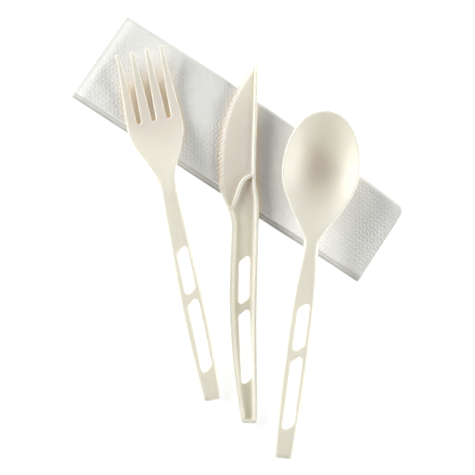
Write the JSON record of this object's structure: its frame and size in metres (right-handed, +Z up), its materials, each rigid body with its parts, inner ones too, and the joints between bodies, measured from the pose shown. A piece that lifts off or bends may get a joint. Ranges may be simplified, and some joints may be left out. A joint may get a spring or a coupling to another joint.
{
  "type": "plastic cutlery pack",
  "caption": "Disposable fork, knife and spoon with arched, slotted channel handles, lying with their heads on a folded embossed paper napkin.",
  "frame": {"origin": "middle of the pack's underside, on the surface that it lies on", "axes": "+Y runs from the handles' ends to the heads, +X to the right seen from above, +Z up"},
  "size_m": [0.148, 0.1994, 0.0148],
  "materials": {
    "tissue": "soft embossed white tissue",
    "ivory_plastic": "satin moulded ivory bioplastic"
  },
  "bodies": {
    "root": {"napkin": "tissue", "fork": "ivory_plastic", "knife": "ivory_plastic", "spoon": "ivory_plastic"}
  },
  "joints": []
}
